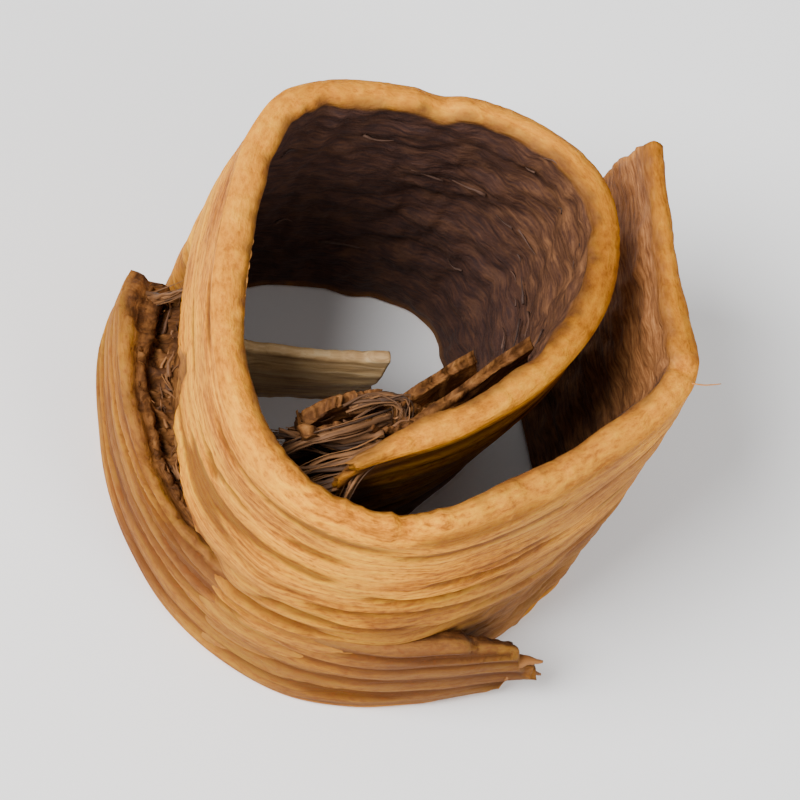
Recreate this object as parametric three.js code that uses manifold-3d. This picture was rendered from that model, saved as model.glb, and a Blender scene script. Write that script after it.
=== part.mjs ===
// A coiled strip of dried tooth-cleaning bark, standing on one of its cut edges.
// The strip makes about one and a half turns. Its inner end is frayed and its outer end is a flat flap.
// The outer layer is split along the grain near mid-height at the front, and the lower part of it
// runs round the foot as a band, loose at its left end and torn to a tongue at its right end.
// Millimetres, +Z up along the axis of the coil, the split front of the coil towards -Y.
import * as THREE from "three";
import Module from "manifold-3d";

const wasm = await Module();
wasm.setup();

// Main sizes.
const HEIGHT = 37;
const WALL_THICK = 2.8;
const BAND_THICK = 2.5;
const TEAR_DEPTH = 1.5;
const EDGE_ROUND = 0.5;

// Sampling: stations between two control points, and rows up the faces of the wall and of the band.
const STEPS = 5;
const LOW_ROWS = 8;
const HIGH_ROWS = 6;
const INNER_ROWS = 8;
const BAND_ROWS = 8;
const BAND_BACK_ROWS = 3;

// Shift that puts the middle of the finished part on the axis.
const CENTRE_X = 0.09;
const CENTRE_Y = 0.35;

// Middle line of the bark, from the frayed inner end round to the flap.
// Each entry is x and y at the rim, then x and y at the foot.
const COIL = [
  [-0.8, -23.7, -3.9, -19.6],
  [2.0, -18.9, -1.0, -15.6],
  [6.8, -10.5, 3.2, -8.6],
  [9.7, -2.0, 5.8, -1.4],
  [10.3, 6.0, 6.4, 6.2],
  [8.3, 13.0, 4.8, 13.0],
  [3.8, 18.2, 1.6, 17.8],
  [-1.6, 19.6, -2.8, 19.4],
  [-7.5, 18.7, -7.8, 18.6],
  [-14.6, 15.0, -14.2, 15.0],
  [-20.8, 10.6, -19.8, 10.4],
  [-23.6, 6.8, -22.6, 6.6],
  [-23.9, 1.5, -23.0, 1.2],
  [-21.8, -6.2, -20.8, -6.2],
  [-18.2, -14.4, -17.0, -13.8],
  [-13.8, -20.9, -12.6, -19.6],
  [-8.5, -25.8, -7.6, -23.8],
  [-2.0, -27.8, -1.6, -25.6],
  [4.0, -26.5, 4.6, -25.2],
  [9.5, -22.3, 11.2, -22.0],
  [14.0, -15.0, 17.2, -15.6],
  [17.6, -6.0, 21.2, -6.8],
  [20.4, 3.8, 22.2, 2.0],
  [20.4, 7.0, 20.8, 6.6],
  [17.2, 11.6, 15.8, 12.0],
  [12.4, 17.8, 10.4, 18.8],
  [6.5, 26.2, 5.0, 26.6],
  [2.2, 32.6, 1.6, 32.4],
];
const FLAP_END = 26.05;

// Height of the split in the outer layer at the control points 12 to 21 of the coil.
const SPLIT = [22.6, 22.8, 22.8, 20.0, 18.0, 18.2, 18.0, 17.2, 15.4, 15.0];
const SPLIT_FROM = 12;

// Middle line of the torn outer layer, from its loose left end to the tip of the tongue:
// x and y at its top edge, x and y at its foot, height of the top edge, height of the lower edge.
const BAND = [
  [-26.2, -4.6, -26.3, -1.6, 15.4, 2.0],
  [-25.2, -8.9, -24.5, -6.8, 17.0, 0.0],
  [-22.8, -14.2, -21.8, -12.1, 17.2, 0.0],
  [-18.9, -19.1, -18.2, -16.9, 16.8, 0.0],
  [-13.7, -23.1, -12.9, -21.4, 16.0, 0.0],
  [-7.2, -25.8, -6.6, -24.7, 15.2, 0.0],
  [0.0, -26.4, 0.0, -26.1, 14.4, 0.0],
  [6.6, -25.1, 6.8, -25.4, 13.8, 0.0],
  [12.5, -22.3, 12.8, -22.3, 13.4, 0.0],
  [17.6, -17.9, 18.0, -18.0, 12.8, 0.2],
  [22.4, -14.0, 22.4, -13.6, 11.0, 0.8],
  [26.9, -10.8, 26.6, -10.2, 6.4, 3.2],
];

// Strip of inner bark that lies across the hollow: x and y at its top edge, x and y at its lower edge.
const SLIVER = [
  [-21.4, -9.6, -20.6, -9.6],
  [-17.6, -7.8, -16.6, -8.0],
  [-13.6, -5.2, -12.4, -5.0],
  [-8.3, -1.8, -7.2, -1.0],
  [-2.7, 2.3, -2.7, 3.0],
];
const SLIVER_TOP = 16;
const SLIVER_LOW = 7.4;
const SLIVER_THICK = 1.2;

// Inner layers that have peeled off beside the frayed end and lean into the hollow:
// x and y at their top edge, x and y at their lower edge.
const PEEL = [
  [7.2, -6.6, 5.2, -6.4],
  [4.0, -10.6, 2.0, -9.6],
  [1.0, -13.4, -0.6, -12.4],
  [-2.2, -16.2, -3.2, -15.4],
  [-5.4, -20.2, -5.6, -19.0],
];
const SECOND_PEEL = [
  [3.4, -8.2, 4.4, -8.0],
  [0.6, -9.8, 2.0, -9.9],
  [-1.4, -11.0, 0.2, -11.4],
  [-3.2, -12.9, -1.8, -13.2],
  [-4.7, -15.2, -3.6, -15.5],
  [-6.3, -17.8, -5.4, -18.0],
];
const NEAR_SPLINTER = [
  [2.6, -12.6, 3.0, -11.6],
  [3.9, -9.2, 4.8, -8.8],
  [4.9, -5.9, 6.0, -5.4],
  [5.9, -2.2, 6.9, -1.9],
  [7.4, 2.2, 7.4, 1.8],
];
const FAR_SPLINTER = [
  [0.6, -11.0, 1.6, -11.0],
  [1.8, -7.2, 4.2, -7.6],
  [2.6, -4.6, 5.2, -4.4],
  [3.7, -1.6, 6.2, -1.2],
];
const PEEL_TOP = 31.5;
const PEEL_LOW = 15;
const PEEL_THICK = 1.3;
const SECOND_TOP = 30;
const SECOND_LOW = 17;
const SECOND_THICK = 1.5;
const SPLINTER_TOP = 32.4;
const SPLINTER_LOW = 18;
const SPLINTER_THICK = 1.0;

// Loose strands and splinters: points along each, then its radius at the start and at the end.
const STRANDS = [
  { path: [[2.4, -18.2, 36], [1.2, -21.0, 33.5], [1.6, -23.6, 30.5]], radius: [0.6, 0.4] },
  { path: [[-2.6, -13.4, 29], [-1.2, -10.6, 31], [0.8, -9.8, 31.4], [2.0, -11.2, 30.4], [1.8, -12.8, 29]], radius: [0.8, 0.6] },
  { path: [[0.6, -12.8, 31], [-1.8, -17.2, 32], [-4.6, -20.2, 30.5], [-7.0, -22.8, 27]], radius: [0.7, 0.5] },
  { path: [[-24.8, -7.6, 15], [-23.2, -8.2, 19], [-22.2, -8.4, 22]], radius: [0.7, 0.35] },
  { path: [[24.2, -12.7, 8], [25.6, -11.9, 8.4], [26.8, -11.2, 8.2]], radius: [0.9, 0.35] },
  { path: [[24.4, -12.2, 5], [26.6, -10.6, 4.6], [27.9, -9.5, 4.0]], radius: [0.9, 0.35] },
];
const STRAND_SIDES = 5;

// Smooth noise between -1 and 1 on a grid of one unit.
function hash(i, j) {
  const value = Math.sin(i * 12.9898 + j * 78.233) * 43758.5453;
  return (value - Math.floor(value)) * 2 - 1;
}

function noise(x, y) {
  const i = Math.floor(x);
  const j = Math.floor(y);
  const a = THREE.MathUtils.smoothstep(x - i, 0, 1);
  const b = THREE.MathUtils.smoothstep(y - j, 0, 1);
  const low = THREE.MathUtils.lerp(hash(i, j), hash(i + 1, j), a);
  const high = THREE.MathUtils.lerp(hash(i, j + 1), hash(i + 1, j + 1), a);
  return THREE.MathUtils.lerp(low, high, b);
}

// A hump that is 1 at the centre and 0 one width away from it.
function hump(x, centre, width) {
  const away = Math.abs(x - centre) / width;
  return away < 1 ? 0.5 + 0.5 * Math.cos(Math.PI * away) : 0;
}

// A step that rises from 0 to 1 between two values.
function rise(x, from, to) {
  return THREE.MathUtils.smoothstep(x, from, to);
}

// Value between the entries of a list, by a smooth blend.
function blend(list, u) {
  const low = THREE.MathUtils.clamp(Math.floor(u), 0, list.length - 2);
  return THREE.MathUtils.lerp(list[low], list[low + 1], rise(u - low, 0, 1));
}

// Pair of smooth lines, one for the top edge and one for the foot, with the same parameter.
function pathPair(rows) {
  const top = new THREE.CatmullRomCurve3(rows.map((r) => new THREE.Vector3(r[0], r[1], 0)));
  const foot = new THREE.CatmullRomCurve3(rows.map((r) => new THREE.Vector3(r[2], r[3], 0)));
  return { top, foot, count: rows.length - 1 };
}

// Point of a pair at parameter u (in control points) and height share h, moved outwards by offset.
function pathPoint(pair, u, h, offset, z) {
  const at = (v) => {
    const share = THREE.MathUtils.clamp(v / pair.count, 0, 1);
    return pair.foot.getPoint(share).lerp(pair.top.getPoint(share), h);
  };
  const here = at(u);
  const way = at(u + 0.02).sub(at(u - 0.02)).normalize();
  return new THREE.Vector3(here.x + way.y * offset, here.y - way.x * offset, z);
}

// Manifold solid from points and faces, turned the right way out.
function solid(points, faces) {
  let volume = 0;
  for (const [a, b, c] of faces) {
    volume += points[a].dot(points[b].clone().cross(points[c]));
  }
  const order = volume > 0 ? faces : faces.map(([a, b, c]) => [a, c, b]);
  const vertProperties = new Float32Array(points.flatMap((p) => [p.x, p.y, p.z]));
  const triVerts = new Uint32Array(order.flat());
  return new wasm.Manifold(new wasm.Mesh({ numProp: 3, vertProperties, triVerts }));
}

// Closed solid through a row of closed sections that all have the same number of points.
// The first points of a section run up its front, the others run down its back.
function loft(sections, front) {
  const size = sections[0].length;
  const faces = [];
  for (let i = 0; i + 1 < sections.length; i += 1) {
    for (let k = 0; k < size; k += 1) {
      const a = i * size + k;
      const b = i * size + ((k + 1) % size);
      faces.push([a, a + size, b], [b, a + size, b + size]);
    }
  }
  const last = (sections.length - 1) * size;
  let up = 0;
  let down = size - 1;
  while (up < front - 1 || down > front) {
    const upShare = up / (front - 1);
    const downShare = (size - 1 - down) / (size - 1 - front);
    const step = down === front || (up < front - 1 && upShare <= downShare);
    const [a, b, c] = step ? [up, up + 1, down] : [up, down - 1, down];
    faces.push([a, b, c], [last + a, last + c, last + b]);
    up += step ? 1 : 0;
    down -= step ? 0 : 1;
  }
  return solid(sections.flat(), faces);
}

// Wall of the coil.
const coil = pathPair(COIL);

function splitHeight(u) {
  return blend(SPLIT, u - SPLIT_FROM);
}

// 1 where the lower part of the outer layer has come away from the wall.
function torn(u) {
  return rise(u, 12.35, 12.75) * (1 - rise(u, 16.1, 17.0)) + 0.45 * rise(u, 19.2, 20.2) * (1 - rise(u, 21.6, 22.0));
}

function rimHeight(u) {
  const wave = 0.35 * noise(u / 1.9, 4.5) + 0.15 * noise(u * 2.3, 9.5);
  const nick = 1.2 * hump(u, 8.7, 0.22);
  const ragged = 0.35 * noise(u * 5.4, 2.5) * hump(u, 18, 3.5);
  const flapDrop = 0.5 * hump(u, 24.6, 1.4);
  const creaseDrop = 0.7 * hump(u, 22.9, 0.35);
  return HEIGHT - 0.45 + wave - nick + ragged - flapDrop - creaseDrop;
}

function footHeight(u) {
  return Math.max(0, 1.5 * noise(u / 1.3, 31.5) - 0.35 + 0.25 * noise(u * 3.7, 17.5));
}

function wallHalf(u) {
  return WALL_THICK / 2 - 0.4 * hump(u, 0, 2) - 0.25 * hump(u, 18.5, 3) - 0.35 * hump(u, 25.5, 3);
}

// Grooves that run along the strip, deeper below the split, over broad dents.
function outerRelief(u, z, row) {
  const low = rise(26 - z, 0, 12);
  const groove = (row % 2 === 0 ? 0.17 : -0.17) * (0.3 + 0.7 * low) * (0.6 + 0.4 * noise(u * 1.7, row + 0.5));
  const dents = 0.25 * noise(u / 2.1, z / 7) + 0.12 * noise(u * 1.4, z / 1.7);
  return groove + dents;
}

// The inner face is lumpy where its fibres tore, most of all towards the inner end.
function innerRelief(u, z) {
  const coarse = 0.3 + 0.25 * (1 - rise(u, 4, 8));
  return coarse * noise(u * 2.6 + 40, z / 4.2) + 0.22 * noise(u + 11, z / 2.4 + 5);
}

function innerEnd(h) {
  return Math.max(0.04, 0.3 + 0.42 * noise(h * 7.3, 61.5) + 0.28 * noise(h * 15, 71.5));
}

function flapEnd(h) {
  return 0.36 * rise(1 - h, 0.02, 0.34) + 0.05 * noise(h * 8, 81.5) - 0.15 * hump(h, 0.2, 0.15);
}

// How much of the inner layers has come off the inner face towards the inner end.
function peeled(u) {
  return 1 - rise(u, 0.3, 1.7);
}

function wallSection(u) {
  const points = [];
  const bottom = footHeight(u);
  const top = rimHeight(u);
  const half = wallHalf(u);
  const round = EDGE_ROUND + 1.3 * hump(u, 18.5, 4.5);
  const nearStart = 1 - rise(u, 0, 2);
  const nearFlap = rise(u, FLAP_END - 2, FLAP_END);
  const add = (side, inset, z, row) => {
    const h = z / HEIGHT;
    const along = u + innerEnd(h) * nearStart + flapEnd(h) * nearFlap;
    const relief = side > 0 ? outerRelief(u, z, row) : innerRelief(u, z) * (1 - 0.6 * peeled(u)) - 0.7 * peeled(u);
    const away = side > 0 && row < LOW_ROWS ? TEAR_DEPTH * torn(u) * (0.9 + 0.3 * noise(u * 3.3, row * 0.9)) : 0;
    const belly = 0.6 * Math.sin(Math.PI * h);
    points.push(pathPoint(coil, along, h, side * (half + relief - inset - away) + belly, z));
  };
  const split = THREE.MathUtils.clamp(splitHeight(u), 14, 24) + 0.5 * noise(u * 4.1, 51.5) * torn(u);
  for (let row = 0; row < LOW_ROWS; row += 1) {
    add(1, 0, THREE.MathUtils.lerp(bottom + EDGE_ROUND, split - 0.25, row / (LOW_ROWS - 1)), row);
  }
  for (let row = 0; row < HIGH_ROWS; row += 1) {
    add(1, 0, THREE.MathUtils.lerp(split + 0.25, top - round, row / (HIGH_ROWS - 1)), LOW_ROWS + row);
  }
  add(1, round * 0.3, top - round * 0.35, LOW_ROWS + HIGH_ROWS);
  add(1, Math.min(round, half), top, LOW_ROWS + HIGH_ROWS);
  add(-1, EDGE_ROUND, top - 0.1, 0);
  for (let row = INNER_ROWS - 1; row >= 0; row -= 1) {
    add(-1, 0, THREE.MathUtils.lerp(bottom + EDGE_ROUND, top - EDGE_ROUND, row / (INNER_ROWS - 1)), row);
  }
  add(-1, EDGE_ROUND, bottom, 0);
  add(1, EDGE_ROUND, bottom, 0);
  return points;
}

const wallSections = [];
const wallSteps = 26 * STEPS;
for (let i = 0; i <= wallSteps; i += 1) {
  wallSections.push(wallSection((i / wallSteps) * FLAP_END));
}
const pieces = [loft(wallSections, LOW_ROWS + HIGH_ROWS + 2)];

// Torn outer layer at the foot, one with the wall at the front and loose at both ends.
const band = pathPair(BAND);
const bandTop = BAND.map((r) => r[4]);
const bandLow = BAND.map((r) => r[5]);

function bandSection(u) {
  const points = [];
  const loose = 1 - rise(u, 5, 6) + rise(u, 8.5, 9.5);
  const blunt = 1 - rise(u, 0, 0.5);
  const top = blend(bandTop, u) + (0.5 * noise(u * 3.5, 3.5) + 0.3 * noise(u * 1.4, 8.5)) * loose - 1.6 * blunt;
  const bottom = blend(bandLow, u) + 1.6 * blunt;
  const half = (BAND_THICK / 2) * (1 + 0.65 * hump(u, 0.7, 1.9) - 0.45 * hump(u, 11, 2)) * (1 - 0.5 * blunt);
  const add = (share, side, inset, z, row) => {
    const groove = (row % 2 === 0 ? 0.2 : -0.2) * (0.7 + 0.3 * noise(u * 1.7, row + 0.5));
    const relief = side > 0 ? groove + 0.15 * noise(u * 1.3, z / 1.6) : 0.2 * noise(u * 2.5, z / 2.2);
    points.push(pathPoint(band, u, share, side * (half + relief - inset), z));
  };
  for (let row = 0; row < BAND_ROWS; row += 1) {
    const share = row / (BAND_ROWS - 1);
    add(share, 1, 0, THREE.MathUtils.lerp(bottom + 0.5, top - 0.5, share), row);
  }
  add(1, 1, half * 0.6, top, 1);
  add(1, -1, half * 0.9, top - 0.8, 1);
  add(1, -1, half * 0.4, top - 0.2, 1);
  for (let row = BAND_BACK_ROWS - 1; row >= 0; row -= 1) {
    const share = row / (BAND_BACK_ROWS - 1);
    add(share, -1, 0, THREE.MathUtils.lerp(bottom + 0.5, top - 1, share), 1);
  }
  add(0, -1, 0.5, bottom, 1);
  add(0, 1, 0.5, bottom, 1);
  return points;
}

const bandSections = [];
const bandSteps = band.count * STEPS;
for (let i = 0; i <= bandSteps; i += 1) {
  bandSections.push(bandSection((i / bandSteps) * band.count));
}
pieces.push(loft(bandSections, BAND_ROWS + 1));

// Torn fibres that fill the bottom of the gap between the band and the wall.
const FIBRE_STEPS = 26;

function fibreSection(share) {
  const onBand = THREE.MathUtils.lerp(0.7, 5.6, share);
  const onWall = THREE.MathUtils.lerp(12.9, 16.5, share);
  const high = 15.4 + 1.6 * noise(share * 17, 13.5) + 1.0 * noise(share * 41, 23.5);
  const low = 13.2 + 1.4 * noise(share * 23, 33.5);
  const wallSide = (z) => pathPoint(coil, onWall, z / HEIGHT, WALL_THICK / 2 - TEAR_DEPTH - 0.5, z);
  const bandSide = (z) => pathPoint(band, onBand, z / 16, -0.6, z);
  return [
    wallSide(0.4),
    wallSide(high + 3),
    wallSide(high).lerp(bandSide(high), 0.35),
    wallSide(low).lerp(bandSide(low), 0.6),
    bandSide(low + 1.4),
    bandSide(0.4),
  ];
}

const fibreSections = [];
for (let i = 0; i <= FIBRE_STEPS; i += 1) {
  fibreSections.push(fibreSection(i / FIBRE_STEPS));
}
pieces.push(loft(fibreSections, 3));

// Thin strip between two heights along a pair of lines, with a ragged top and, where asked, a notched end.
function thinStrip(rows, steps, thick, low, top, ragged, notch) {
  const pair = pathPair(rows);
  const sections = [];
  for (let i = 0; i <= steps; i += 1) {
    const u = (i / steps) * pair.count;
    const end = rise(u, pair.count - 1, pair.count);
    const high = top + ragged * noise(u * 3.1, thick * 40);
    const under = low + ragged * noise(u * 2.3, thick * 50);
    const at = (h, side) => {
      const back = notch * end * hump(h, 0.55, 0.5);
      const z = THREE.MathUtils.lerp(under, high, h);
      return pathPoint(pair, u - back, h, side * (thick / 2 + 0.1 * noise(u * 2, h * 5)), z);
    };
    sections.push([at(0, 1), at(0.33, 1), at(0.6, 1), at(1, 1), at(1, -1), at(0.6, -1), at(0.33, -1), at(0, -1)]);
  }
  return loft(sections, 4);
}
pieces.push(thinStrip(SLIVER, 12, SLIVER_THICK, SLIVER_LOW, SLIVER_TOP, 0.3, 0));
pieces.push(thinStrip(PEEL, 16, PEEL_THICK, PEEL_LOW, PEEL_TOP, 1.2, 0.5));
pieces.push(thinStrip(SECOND_PEEL, 18, SECOND_THICK, SECOND_LOW, SECOND_TOP, 1.0, 0.3));
pieces.push(thinStrip(NEAR_SPLINTER, 12, SPLINTER_THICK, SPLINTER_LOW, SPLINTER_TOP, 0.3, 0));
pieces.push(thinStrip(FAR_SPLINTER, 10, SPLINTER_THICK, SPLINTER_LOW, SPLINTER_TOP - 1.4, 0.4, 0));

// Round strand along a curve, thinning towards its end.
function strand({ path, radius }) {
  const curve = new THREE.CatmullRomCurve3(path.map((p) => new THREE.Vector3(...p)));
  const steps = (path.length - 1) * 3;
  const sections = [];
  for (let i = 0; i <= steps; i += 1) {
    const share = i / steps;
    const centre = curve.getPoint(share);
    const way = curve.getTangent(share);
    const side = new THREE.Vector3(way.y, -way.x, 0).normalize();
    const up = new THREE.Vector3().crossVectors(side, way).normalize();
    const r = THREE.MathUtils.lerp(radius[0], radius[1], share) * (1 + 0.2 * noise(share * 9, radius[0] * 31));
    const ring = [];
    for (let k = 0; k < STRAND_SIDES; k += 1) {
      const turn = (k / STRAND_SIDES) * Math.PI * 2;
      const out = side.clone().multiplyScalar(Math.cos(turn) * r).addScaledVector(up, Math.sin(turn) * r);
      ring.push(centre.clone().add(out));
    }
    sections.push(ring);
  }
  return loft(sections, 3);
}
for (const entry of STRANDS) {
  pieces.push(strand(entry));
}

// One body: small hollows sealed by the joining are filled and loose scraps are dropped.
let roll = pieces[0];
for (const piece of pieces.slice(1)) {
  roll = roll.add(piece);
}
const bodies = roll.simplify(0.04).decompose();
bodies.sort((a, b) => b.volume() - a.volume());
const mesh = bodies[0].getMesh();

const vertices = new Float32Array(mesh.numVert * 3);
for (let i = 0; i < mesh.numVert; i += 1) {
  vertices[i * 3] = mesh.vertProperties[i * mesh.numProp] - CENTRE_X;
  vertices[i * 3 + 1] = mesh.vertProperties[i * mesh.numProp + 1] - CENTRE_Y;
  vertices[i * 3 + 2] = mesh.vertProperties[i * mesh.numProp + 2];
}
const geometry = new THREE.BufferGeometry();
geometry.setAttribute("position", new THREE.BufferAttribute(vertices, 3));
geometry.setIndex(new THREE.BufferAttribute(new Uint32Array(mesh.triVerts), 1));
geometry.computeVertexNormals();

const bark = new THREE.MeshStandardMaterial({ color: 0xb5813f, roughness: 0.85, metalness: 0 });
const barkRoll = new THREE.Mesh(geometry, bark);
barkRoll.name = "bark_roll";

const group = new THREE.Group();
group.name = "curled_bark_strip";
group.add(barkRoll);

export default group;
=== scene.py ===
import bmesh
import bpy
import numpy as np
from mathutils import Matrix, Vector


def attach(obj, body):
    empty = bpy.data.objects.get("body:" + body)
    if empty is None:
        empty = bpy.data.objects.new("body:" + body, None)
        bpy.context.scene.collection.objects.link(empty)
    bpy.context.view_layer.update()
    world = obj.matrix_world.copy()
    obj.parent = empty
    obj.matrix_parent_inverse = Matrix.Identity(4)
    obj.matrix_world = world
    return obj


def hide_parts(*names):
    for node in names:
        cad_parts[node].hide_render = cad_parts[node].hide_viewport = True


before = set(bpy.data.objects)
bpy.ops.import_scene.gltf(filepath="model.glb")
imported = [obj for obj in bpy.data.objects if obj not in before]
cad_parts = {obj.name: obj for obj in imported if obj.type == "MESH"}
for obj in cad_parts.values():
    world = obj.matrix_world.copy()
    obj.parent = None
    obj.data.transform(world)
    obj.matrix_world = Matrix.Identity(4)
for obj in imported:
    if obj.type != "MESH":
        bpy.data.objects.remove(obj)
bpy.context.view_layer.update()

# The wall of the coil is one strip of dried bark, 2.8 mm thick and cut across at both edges.
# It curled up as it dried into about one and a half turns, with a flat flap at the outer end.
# Its outer layer has split along the grain at the front, and the lower part of it has torn away.
MM = 0.001
MIDDLE_X = 0.09     # The middle of the solids' box lies over the frame's origin.
MIDDLE_Y = 0.35
STRIP_HEIGHT = 37.0
BARK_THICK = 2.8
SPLIT_DEPTH = 1.5
SPLIT_GAP = 0.06
FLAP_END = 26.05
# A line's rows give the place of its top edge and the place of its foot, in millimetres. Places along a line
# are counted in rows. On the coil 0 is the frayed inner end, 4.6 the right side, 9.5 the back, 12.6 to 16.5
# the split at the left, 18.5 the front, 22.9 the crease of the flap and 26 the flap's end.
COIL = np.array([
    [-0.8, -23.7, -3.9, -19.6], [2.0, -18.9, -1.0, -15.6], [6.8, -10.5, 3.2, -8.6], [9.7, -2.0, 5.8, -1.4],
    [10.3, 6.0, 6.4, 6.2], [8.3, 13.0, 4.8, 13.0], [3.8, 18.2, 1.6, 17.8], [-1.6, 19.6, -2.8, 19.4],
    [-7.5, 18.7, -7.8, 18.6], [-14.6, 15.0, -14.2, 15.0], [-20.8, 10.6, -19.8, 10.4],
    [-23.6, 6.8, -22.6, 6.6], [-23.9, 1.5, -23.0, 1.2], [-21.8, -6.2, -20.8, -6.2],
    [-18.2, -14.4, -17.0, -13.8], [-13.8, -20.9, -12.6, -19.6], [-8.5, -25.8, -7.6, -23.8],
    [-2.0, -27.8, -1.6, -25.6],
    [4.0, -26.5, 4.6, -25.2], [9.5, -22.3, 11.2, -22.0], [14.0, -15.0, 17.2, -15.6], [17.6, -6.0, 21.2, -6.8],
    [20.4, 3.8, 22.2, 2.0], [20.4, 7.0, 20.8, 6.6], [17.2, 11.6, 15.8, 12.0], [12.4, 17.8, 10.4, 18.8],
    [6.5, 26.2, 5.0, 26.6], [2.2, 32.6, 1.6, 32.4],
])
SPLIT_HEIGHTS = [22.6, 22.8, 22.8, 20.0, 18.0, 18.2, 18.0, 17.2, 15.4, 15.0]
SPLIT_FROM = 12


def smooth_line(points, per_gap=60):
    """Samples of a smooth line through the points, evenly many between each two."""
    ends = np.vstack([2 * points[0] - points[1], points, 2 * points[-1] - points[-2]])
    w = np.linspace(0, 1, per_gap, endpoint=False)[:, None]
    line = []
    for p0, p1, p2, p3 in zip(ends, ends[1:], ends[2:], ends[3:]):
        d0, d1, d2 = (max(np.linalg.norm(b - a), 1e-6) ** 0.5 for a, b in ((p0, p1), (p1, p2), (p2, p3)))
        t1 = ((p1 - p0) / d0 - (p2 - p0) / (d0 + d1) + (p2 - p1) / d1) * d1
        t2 = ((p2 - p1) / d1 - (p3 - p1) / (d1 + d2) + (p3 - p2) / d2) * d1
        line.append(p1 + t1 * w + (3 * (p2 - p1) - 2 * t1 - t2) * w**2 + (2 * (p1 - p2) + t1 + t2) * w**3)
    return np.vstack([*line, points[-1:]])


def pair_of_lines(rows):
    """The top edge and the foot of a strip as two smooth lines, with the length run along their middle."""
    top, foot = smooth_line(rows[:, 0:2]), smooth_line(rows[:, 2:4])
    gaps = np.linalg.norm(np.diff((top + foot) / 2, axis=0), axis=1)
    run = np.concatenate([[0], np.cumsum(gaps)])
    return {"u": np.linspace(0, len(rows) - 1, len(top)), "top": top, "foot": foot, "run": run}


def on_strip(pair, u, h, out, z):
    """Places in millimetres at u along a pair of lines, share h of the way up it and out from its middle.
    Past the ends of the lines it runs straight on."""
    def at(v):
        return [np.interp(v, pair["u"], pair["foot"][:, i]) * (1 - h)
                + np.interp(v, pair["u"], pair["top"][:, i]) * h for i in (0, 1)]
    step = 0.02
    near = np.clip(u, step, pair["u"][-1] - step)
    past = (u - near) / (2 * step)
    x, y = at(near)
    (x0, y0), (x1, y1) = at(near - step), at(near + step)
    x, y = x + (x1 - x0) * past, y + (y1 - y0) * past
    size = np.hypot(x1 - x0, y1 - y0)
    return np.stack([x + (y1 - y0) / size * out, y - (x1 - x0) / size * out, z + 0 * x], 1)


def ripple(x, y):
    """Smooth noise between -1 and 1, with one bump or dent to each unit."""
    i, j = np.floor(x), np.floor(y)

    def corner(a, b):
        value = np.sin(a * 12.9898 + b * 78.233) * 43758.5453
        return (value - np.floor(value)) * 2 - 1
    a, b = (x - i) ** 2 * (3 - 2 * (x - i)), (y - j) ** 2 * (3 - 2 * (y - j))
    low = corner(i, j) * (1 - a) + corner(i + 1, j) * a
    high = corner(i, j + 1) * (1 - a) + corner(i + 1, j + 1) * a
    return low * (1 - b) + high * b


def rise(x, start, end):
    """Smooth step: 0 up to start, 1 from end on."""
    share = np.clip((x - start) / (end - start), 0, 1)
    return share * share * (3 - 2 * share)


def hump(x, centre, width):
    """Smooth bump: 1 at the centre, 0 from width away on."""
    away = np.clip(np.abs(x - centre) / width, 0, 1)
    return 0.5 + 0.5 * np.cos(np.pi * away)


def blend(values, u):
    """The value at place u of a list of values, one for each row, with smooth steps between them."""
    low = np.clip(np.floor(u), 0, len(values) - 2).astype(int)
    values = np.array(values)
    return values[low] + (values[low + 1] - values[low]) * rise(u - low, 0, 1)


def bark_mat(name, along, up, layers):
    """A flat closed mat of bark one unit long, high and thick. Returns its mesh and its points' flat places,
    which are the shares along it, up it and through it."""
    bm = bmesh.new()
    bmesh.ops.create_grid(bm, x_segments=along, y_segments=up, size=0.5)
    top = bm.faces[:]
    for layer in range(layers):
        made = bmesh.ops.extrude_face_region(bm, geom=top, use_keep_orig=layer == 0)["geom"]
        if layer > 0:
            bmesh.ops.delete(bm, geom=top, context="FACES")
        lifted = [g for g in made if isinstance(g, bmesh.types.BMVert)]
        bmesh.ops.translate(bm, verts=lifted, vec=(0, 0, 1 / layers))
        top = [g for g in made if isinstance(g, bmesh.types.BMFace)]
    bmesh.ops.recalc_face_normals(bm, faces=bm.faces[:])
    mesh = bpy.data.meshes.new(name)
    bm.to_mesh(mesh)
    bm.free()
    flat = np.zeros(len(mesh.vertices) * 3)
    mesh.vertices.foreach_get("co", flat)
    return mesh, flat.reshape(-1, 3) + (0.5, 0.5, 0)


def curl(mesh, places, flat, marks, material):
    """Moves the mat's points to their places and keeps its flat places and marks for the material."""
    mesh.vertices.foreach_set("co", ((places - (MIDDLE_X, MIDDLE_Y, 0)) * MM).ravel())
    mesh.attributes.new("flat_place", "FLOAT_VECTOR", "POINT").data.foreach_set("vector", flat.ravel())
    for mark, values in marks.items():
        values = np.clip(values + 0 * flat[:, 0], 0, 1)
        mesh.attributes.new(mark, "FLOAT", "POINT").data.foreach_set("value", values)
    mesh.polygons.foreach_set("use_smooth", [True] * len(mesh.polygons))
    mesh.materials.append(material)
    mesh.update()
    piece = bpy.data.objects.new(mesh.name, mesh)
    bpy.context.scene.collection.objects.link(piece)
    return piece


def node(tree, kind, values=(), **settings):
    """A shader node with its settings, and its inputs set or linked by name or place."""
    made = tree.nodes.new(kind)
    for key, value in settings.items():
        setattr(made, key, value)
    for key, value in dict(values).items():
        if isinstance(value, bpy.types.NodeSocket):
            tree.links.new(value, made.inputs[key])
        else:
            made.inputs[key].default_value = value
    return made


def shades(tree, factor, stops):
    """A colour ramp: stops are (place, (red, green, blue))."""
    ramp = node(tree, "ShaderNodeValToRGB", {"Fac": factor})
    while len(ramp.color_ramp.elements) < len(stops):
        ramp.color_ramp.elements.new(0.5)
    for element, (place, colour) in zip(ramp.color_ramp.elements, stops):
        element.position = place
        element.color = (*colour, 1)
    return ramp.outputs["Color"]


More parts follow.
